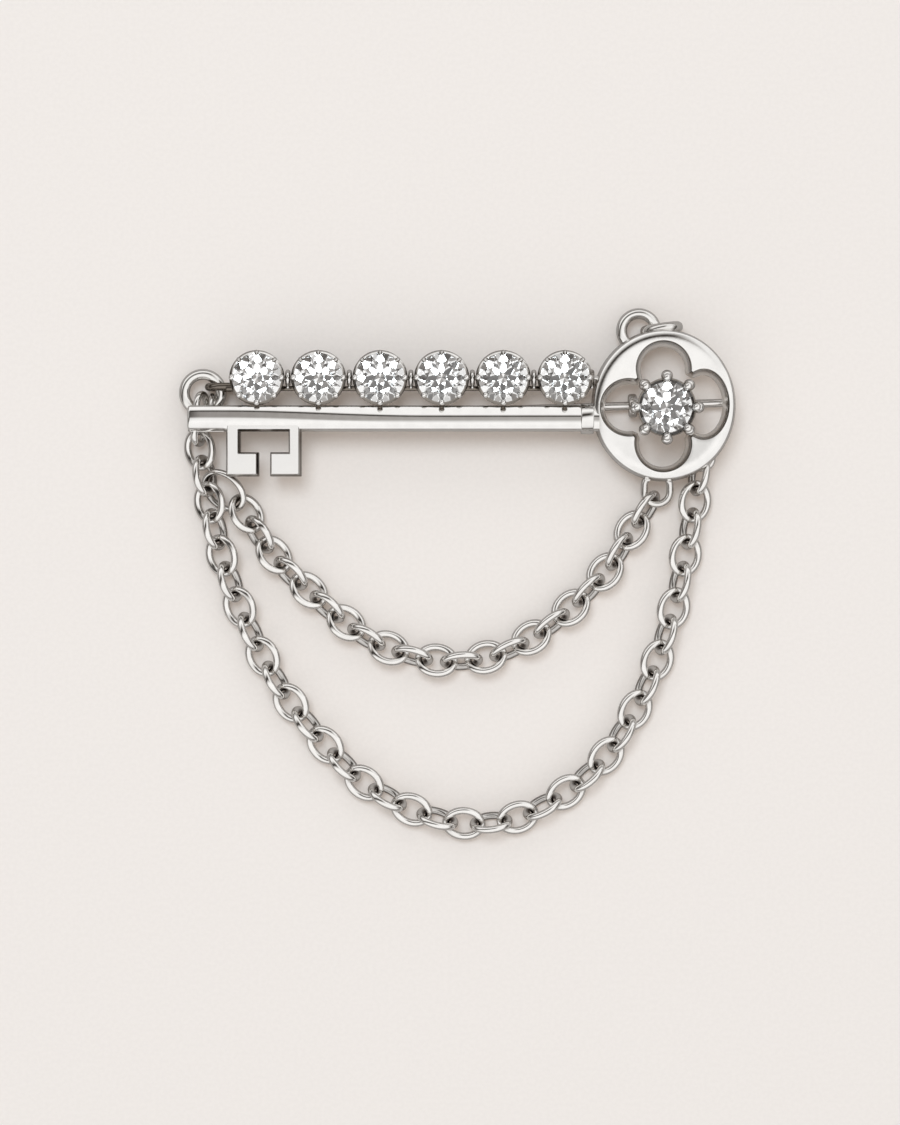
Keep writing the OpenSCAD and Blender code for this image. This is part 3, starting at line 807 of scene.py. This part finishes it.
# Painted shade: the row's metal is darker below 3.4 mm, under the galleries, and darker along the U
# of its map, on the walls and the joining rings.
row_metal = metal("row_rhodium", (0.84, 0.825, 0.805), (0.2, 0.175, 0.15), 0.1, 0.08, 3e-6, 0.04,
                  (3.4, 4.6), [(0.0, 1.0), (1.0, 0.1)])
# Painted shade: the claws' metal is darker below 5.4 mm, down their wires.
claw_metal = metal("claw_rhodium", (0.92, 0.91, 0.895), (0.19, 0.165, 0.14), 0.06, 0.04, 3e-6, 0.03,
                   (5.4, 5.7))


def along_row(piece):
    """The piece at the first setting, and a copy of it at each of the other five."""
    copies = [copy_of(piece, Matrix.Translation((row_pitch * i, 0, 0))) for i in range(1, 6)]
    return [piece] + copies


def bar(x_from, x_to, width, low, high, roundness):
    """A square bar along X about Y 0, with rounded edges."""
    clear_hand()
    bpy.ops.mesh.primitive_cube_add(size=1, location=((x_from + x_to) / 2, 0, (low + high) / 2))
    piece = bpy.context.object
    piece.scale = (x_to - x_from, width, high - low)
    bpy.ops.object.transform_apply(location=False, rotation=False, scale=True)
    take(piece)
    round_off(roundness, 3)
    bpy.ops.object.mode_set(mode="OBJECT")
    return piece


setting = solder([turned(foot_ring, 64), turned(gallery)])
# Five claws of each setting end as a ball. The three on the row's upper side end as a point.
ball_claw = solder([rod(claw_foot, claw_top, claw_r, 20), bead(claw_top, claw_ball_r, 12)])
point_claw = solder([
    rod(claw_foot, bend_low, bent_wire_r, 20), rod(tip_foot, tip_end, tip_r, 20, tip_end_r),
    bead(bend_at, bend_r, 10),
])
bpy.context.view_layer.update()
claws = []
for k in range(8):
    claw = point_claw if k in (1, 2, 3) else ball_claw
    claws.append(copy_of(claw, Matrix.Rotation(math.tau * k / 8, 4, "Z")))
bpy.data.objects.remove(point_claw)
bpy.data.objects.remove(ball_claw)
claws = solder(claws)
for piece in (claws, setting):
    settle(piece)
    piece.matrix_world = Matrix.Translation((row_x, row_y, 0))
bpy.context.view_layer.update()
hand_in(solder(along_row(claws)), "Row_claws", "stone_row", claw_metal, 45)
row = along_row(setting)
for i in range(6):
    ring_x = row_x + (i + 0.5) * row_pitch if i < 5 else row_end_x
    bar_from, bar_to = row_x + i * row_pitch + bar_start, ring_x
    if i < 5:
        bar_to += bar_past
    joiner = wire_loop(2 * joiner_r, 2 * joiner_r, joiner_wire, 40, 16)
    row.append(set_at(joiner, (ring_x, row_y, joiner_z), (90, "Y")))
    row.append(bead((ring_x, row_y + drop_y, joiner_z + drop_z), drop_r, 10))
    row.append(rod((bar_from, row_y, bar_z), (bar_to, row_y, bar_z), bar_r, 20))
rail = bar(rail_from, rail_to, rail_width, rail_low, rail_high, rail_round)
row.append(set_at(rail, (0, rail_y, 0)))
end_loop = wire_loop(loop_to - loop_from, loop_width, loop_wire)
row.append(set_at(end_loop, ((loop_from + loop_to) / 2, loop_y, chain_z), (90, "X")))
row = hand_in(solder(row), "Stone_row", "stone_row", row_metal, 45)
# Painted shade: the gallery walls are bright on the row's upper side and painted dark elsewhere,
# and the joining rings are painted dark on their sides.
for corner, place in zip(row.data.loops, row.data.uv_layers.active.data):
    x, y, z = row.data.vertices[corner.vertex_index].co / MM
    x = (x - row_x + row_pitch / 2) % row_pitch - row_pitch / 2
    far = math.hypot(x, y - row_y)
    wall = wall_shade_low < z < wall_shade_high and wall_shade_in < far < wall_shade_out
    row_painted_shade = 1 - eased((y - row_y) / far, 0.1, 0.6) if wall else 0.0
    if abs(x) > joiner_from and abs(y - row_y) < joiner_reach:
        row_painted_shade = eased(row_pitch / 2 - abs(x), 0.08, 0.26)
    place.uv = (row_painted_shade, 0.5)

# The six stones of the row, cut as the bow's stone is, each dropped into its own setting.
row_stones = along_row(brilliant(row_r, (row_x, row_y, row_z)))
for i, stone in enumerate(row_stones, 1):
    hand_in(stone, f"Row_stone_{i}", f"row_stone_{i}", stone_glass, 5)

# The two jump rings and the long link that hangs behind the shaft's end: round wire, bent
# round a rod, soldered shut and tumbled bright.
ring_wire, left_width, top_width = 1.1, 4.8, 4.56
left_at, top_at = (-25.5, 18.3, chain_z), (18.5, 24.55, chain_z)
hanger_length, hanger_width, hanger_wire = 5.7, 3.0, 0.7
hanger_at, hanger_turns = (-25.75, 15.65, chain_z), ((85.6, "Z"), (67.5, "X"))
ring_metal = metal("ring_rhodium", (0.84, 0.83, 0.81), (0.36, 0.33, 0.3), 0.08, 0.06, 5e-6, 0.04)
left_ring = set_at(wire_loop(left_width, left_width, ring_wire, 96, 32), left_at)
hand_in(left_ring, "Left_ring", "left_ring", ring_metal, 60)
top_ring = set_at(wire_loop(top_width, top_width, ring_wire, 96, 32), top_at)
hand_in(top_ring, "Top_ring", "top_ring", ring_metal, 60)
hanger = wire_loop(hanger_length, hanger_width, hanger_wire, 72, 24)
set_at(hanger, hanger_at, *hanger_turns)
hand_in(hanger, "Hanger_link", "hanger_link", ring_metal, 60)

# The two swags: cable chain of round wire links, every second one turned a quarter, the inner
# swag hung from a slightly larger link that is threaded on the outer one.
link_length, link_width, link_wire = 4.38, 3.68, 0.74
outer_pitch, outer_turn, outer_settled = 2.75, 31, 6
inner_pitch, inner_turn, inner_settled = 2.52, -31, -6
branch_length, branch_width, branch_wire = 5.3, 4.2, 0.62
branch_at, branch_turns = (-23.37, 8.4, 1.51), ((-35, "Z"), (-13.5, "Y"), (31.7, "X"))
# Painted shade: the chain is darker low down, under the links, and along the U of each link's map,
# as painted shadow where the links cross.
chain_metal = metal("chain_rhodium", (0.88, 0.865, 0.845), (0.13, 0.11, 0.095), 0.08, 0.06, 5e-6,
                    0.05, (0.1, 1.3), [(0.0, 1.0), (0.25, 0.9), (1.0, 0.0)])
outer_route = [
    (-25.8, 12.6), (-25.1, 8.7), (-23.8, 2.6), (-21.2, -4.7), (-16.9, -12.6), (-10.9, -19.6),
    (-7.1, -22.4), (-3, -24.3), (1.6, -25.2), (7.5, -24.1), (14.3, -19.4), (19, -12),
    (21.9, -3.9), (23.4, 2.9), (24.6, 10),
]
inner_route = [
    (-21.1, 6.1), (-18.6, 2.3), (-15.6, -0.9), (-10, -5.7), (-5.5, -7.9), (-0.4, -8.8), (5, -7.8),
    (10.5, -4.4), (15.1, 0.2), (17.3, 3.6), (19.2, 6.5),
]


def smooth_route(route, steps=10):
    """A smooth curve through all points of a route, as closely spaced points."""
    pts = [Vector(p) for p in route]
    pts = [2 * pts[0] - pts[1]] + pts + [2 * pts[-1] - pts[-2]]
    out = []
    for a, b, c, d in zip(pts, pts[1:], pts[2:], pts[3:]):
        for k in range(steps):
            t = k / steps
            out.append((2 * b + (c - a) * t + (2 * a - 5 * b + 4 * c - d) * t * t
                        + (3 * b - a - 3 * c + d) * t ** 3) / 2)
    return out + [pts[-2]]


def swag(link, route, pitch, first_turn, settled):
    """Copies of a link along a route, evenly spaced, every second one turned a quarter back. The
    first few keep their turn, and the others have settled by so many degrees."""
    pts = smooth_route(route)
    walked = [0.0]
    for a, b in zip(pts, pts[1:]):
        walked.append(walked[-1] + (b - a).length)
    count = round(walked[-1] / pitch)
    step = walked[-1] / count

    def place(s):
        """The point at this length along the route."""
        s = min(max(s, 0.0), walked[-1])
        k = min(max(i for i, w in enumerate(walked) if w <= s + 1e-9), len(pts) - 2)
        return pts[k].lerp(pts[k + 1], (s - walked[k]) / (walked[k + 1] - walked[k]))

    links = []
    for i in range(count + 1):
        here = place(i * step)
        way = place((i + 0.5) * step) - place((i - 0.5) * step)
        roll = first_turn if i % 2 == 0 else first_turn - 90
        roll -= settled * eased(i, 3, 8)
        move = (
            Matrix.Translation((here.x, here.y, chain_z))
            @ Matrix.Rotation(math.atan2(way.y, way.x), 4, "Z")
            @ Matrix.Rotation(math.radians(roll), 4, "X")
        )
        links.append(copy_of(link, move))
    return links


def oval_link(length, width, wire):
    """A closed oval link along X, with painted shadow in the U of its map on the inner side of its
    two ends, where the next links cross.
    """
    loop = wire_loop(width, width, wire, 60, 18)
    mesh, reach, bend = loop.data, (length - width) / 2, (width - wire) / 2
    # Painted shadow: dark on the inner side of each end, where the next link crosses.
    wear = []
    for v in mesh.vertices:
        out = math.hypot(v.co.x, v.co.y)
        inner = eased((bend - out) / (wire / 2), -0.3, 0.8)
        wear.append(inner * eased(abs(v.co.x) / out, 0.6, 0.95))
        v.co.x += reach * v.co.x / out
    for corner, place in zip(mesh.loops, mesh.uv_layers.active.data):
        place.uv = (wear[corner.vertex_index], 0.5)
    return loop


link = oval_link(link_length, link_width, link_wire)
outer = swag(link, outer_route, outer_pitch, outer_turn, outer_settled)
hand_in(solder(outer), "Outer_chain", "outer_chain", chain_metal, 60)
branch = set_at(oval_link(branch_length, branch_width, branch_wire), branch_at, *branch_turns)
inner = [branch] + swag(link, inner_route, inner_pitch, inner_turn, inner_settled)
hand_in(solder(inner), "Inner_chain", "inner_chain", chain_metal, 60)
bpy.data.objects.remove(link)

# The pin behind the key: a hard wire stem drawn to a point, its hinge drum and its catch
# barrel, each on a small foot soldered to the key's back.
pin_metal = metal("pin_steel", (0.82, 0.8, 0.78), (0.5, 0.47, 0.44), 0.12, 0.08, 3e-6, 0.06)
pin_z, stem_r, stem_point = 1.25, 0.42, 0.1
tip_x, taper_x, foot_x, foot_r = -41, -39.4, 9.4, 0.5
hinge_x, hinge_r, catch_from, catch_to, catch_r = 0.45, 1.2, -38.8, -37, 0.95
drum_round, plate_width, plate_round = 0.3, 1.2, 0.08
plate_to, pin_top = 1.5, back_z - 0.05
drums = [
    rod((-hinge_x, 0, pin_z), (hinge_x, 0, pin_z), hinge_r, 64),
    rod((catch_from, 0, pin_z), (catch_to, 0, pin_z), catch_r, 64),
]
for drum in drums:
    take(drum)
    pick("edges", sharp)
    round_off(drum_round, 6)
pin = solder([
    rod((taper_x, 0, pin_z), (tip_x, 0, pin_z), stem_r, 32, stem_point),
    rod((taper_x, 0, pin_z), (foot_x, 0, pin_z), stem_r, 32),
    rod((foot_x, 0, pin_z - stem_r), (foot_x, 0, pin_top), foot_r, 32),
    *drums,
    bar(0, plate_to, plate_width, pin_z, pin_top, plate_round),
    bar(catch_from, catch_to, plate_width, pin_z, pin_top, plate_round),
])
set_at(pin, (17.9, 17.0, 0), (1.8, "Z"))
hand_in(pin, "Pin_finding", "pin_finding", pin_metal, 45)

# The table: a wide sheet of warm off-white card, which the brooch lies on, pin side down.
card = bpy.data.materials.new("off_white_card")
card.use_nodes = True
card_shader = card.node_tree.nodes["Principled BSDF"]
card_shader.inputs["Roughness"].default_value = 0.9
card_shader.inputs["Specular IOR Level"].default_value = 0.2
spot = Shade(card.node_tree).node("ShaderNodeTexCoord", out="Object")
fibre = spot.node("ShaderNodeTexNoise", None, {"Vector": spot, "Scale": 2500.0, "Detail": 4.0})
# Painted shade: the card is half as bright where the metal reflects it, which darkens the metal's
# edges.
seen = 1.0 - 0.5 * spot.node("ShaderNodeLightPath", out="Is Glossy Ray")
fibre_tone = blend_tones(fibre.ease(0.3, 0.7), (0.83, 0.811, 0.803), (0.85, 0.831, 0.823))
card.node_tree.links.new(
    fibre.node("ShaderNodeVectorMath", {"operation": "SCALE"}, {0: fibre_tone, 3: seen}).socket,
    card_shader.inputs["Base Color"],
)
clear_hand()
bpy.ops.mesh.primitive_plane_add(size=12)
table_top = bpy.context.object
table_top.name = "Table"
table_top.data.materials.append(card)

# Soft studio light: a wide bright tent overhead, open to the dark room in a band a little behind
# the brooch and dimmer at both ends, and one soft lamp from the upper left.
studio = bpy.data.worlds.new("studio")
bpy.context.scene.world = studio
studio.use_nodes = True
tent = studio.node_tree
way = Shade(tent).node("ShaderNodeTexCoord", out="Generated")
east = way.node("ShaderNodeSeparateXYZ", None, {0: way}, out="X")
north = way.node("ShaderNodeSeparateXYZ", None, {0: way}, out="Y")
up = way.node("ShaderNodeSeparateXYZ", None, {0: way}, out="Z")
# How bright the tent is by the angle from overhead, in degrees, towards the upper left.
tent_north, tent_east = 0.9, 0.44
stops = [(-180, 0.08), (-93, 0.04), (-85, 0.08), (-77, 0.35), (-69, 0.8), (-60, 0.98), (-40, 1.05),
         (-20, 1.08), (-8, 1.12), (0, 1.08), (6, 0.98), (11, 0.72), (16, 0.34), (20, 0.08),
         (24, 0.03), (29, 0.05), (34, 0.3), (41, 0.7), (50, 1.05), (62, 1.15), (70, 0.85),
         (78, 0.35), (86, 0.1), (94, 0.06), (180, 0.08)]
bent = way.math("ARCTAN2", north * tent_north - east * tent_east, up) * (1 / math.tau) + 0.5
level = way.node("ShaderNodeValToRGB", {"stops": [(0.5 + a / 360, v / 2) for a, v in stops]},
                 {0: bent}) * 2.0
level = way.math("MAXIMUM", level, east.ease(0.06, 0.4) * up.ease(0.2, 0.45))
ends = east.ease(0.8, 0.99, 1.0, 0.15) * (0.0 - east).ease(0.75, 0.99, 1.0, 0.2)
drapes = way.node("ShaderNodeTexNoise", None, {"Vector": way, "Scale": 2.4, "Detail": 0.0})
through = way.node("ShaderNodeLightPath", out="Is Transmission Ray")
spread = way.node("ShaderNodeLightPath", out="Is Diffuse Ray")
# What the stones see: rings of light about the zenith, broken by soft drapes.
rings = [(0.0, 0.03), (0.3, 0.05), (0.36, 0.5), (0.52, 0.55), (0.57, 0.04), (0.65, 0.04),
         (0.7, 0.54), (0.93, 0.54), (0.96, 0.03), (1.0, 0.03)]
facing = way.node("ShaderNodeValToRGB", {"stops": rings}, {0: up}) * 2.0
facing = facing * drapes.ease(0.37, 0.57, 0.2, 1.0)
glow = level * ends * (1.0 + through * (facing - 1.0))
backdrop = tent.nodes["Background"]
tent.links.new((glow * (1.0 - 0.15 * spread)).socket, backdrop.inputs["Strength"])
warm = glow.ease(0.0, 0.9) * (1.0 - spread)
tent.links.new(blend_tones(warm, (1.0, 0.92, 0.85), (1.0, 0.992, 0.982)).socket,
               backdrop.inputs["Color"])

lamp = bpy.data.objects.new("Soft_lamp", bpy.data.lights.new("Soft_lamp", "AREA"))
bpy.context.scene.collection.objects.link(lamp)
lamp.data.shape = "DISK"
lamp.data.size = 0.7
lamp.data.energy = 9.2
lamp.data.color = (0.95, 1.02, 1.06)
lamp.location = (-0.16, 0.42, 1.5)
lamp.rotation_euler = (-lamp.location).to_track_quat("-Z", "Y").to_euler()
lamp.visible_glossy = False

# The camera looks straight down on the brooch, as the photograph does.
camera = bpy.data.objects.new("Camera", bpy.data.cameras.new("Camera"))
bpy.context.scene.collection.objects.link(camera)
camera.data.sensor_fit = "HORIZONTAL"
camera.data.sensor_width = 36
camera.data.lens = 160
camera.data.clip_start, camera.data.clip_end = 0.01, 20
camera.location = (-0.00055, 0.00116, 0.4055)
bpy.context.scene.camera = camera
bpy.context.scene.view_settings.view_transform = "Standard"
bpy.context.scene.cycles.max_bounces = 16
bpy.context.scene.cycles.glossy_bounces = 12
bpy.context.scene.cycles.transmission_bounces = 14
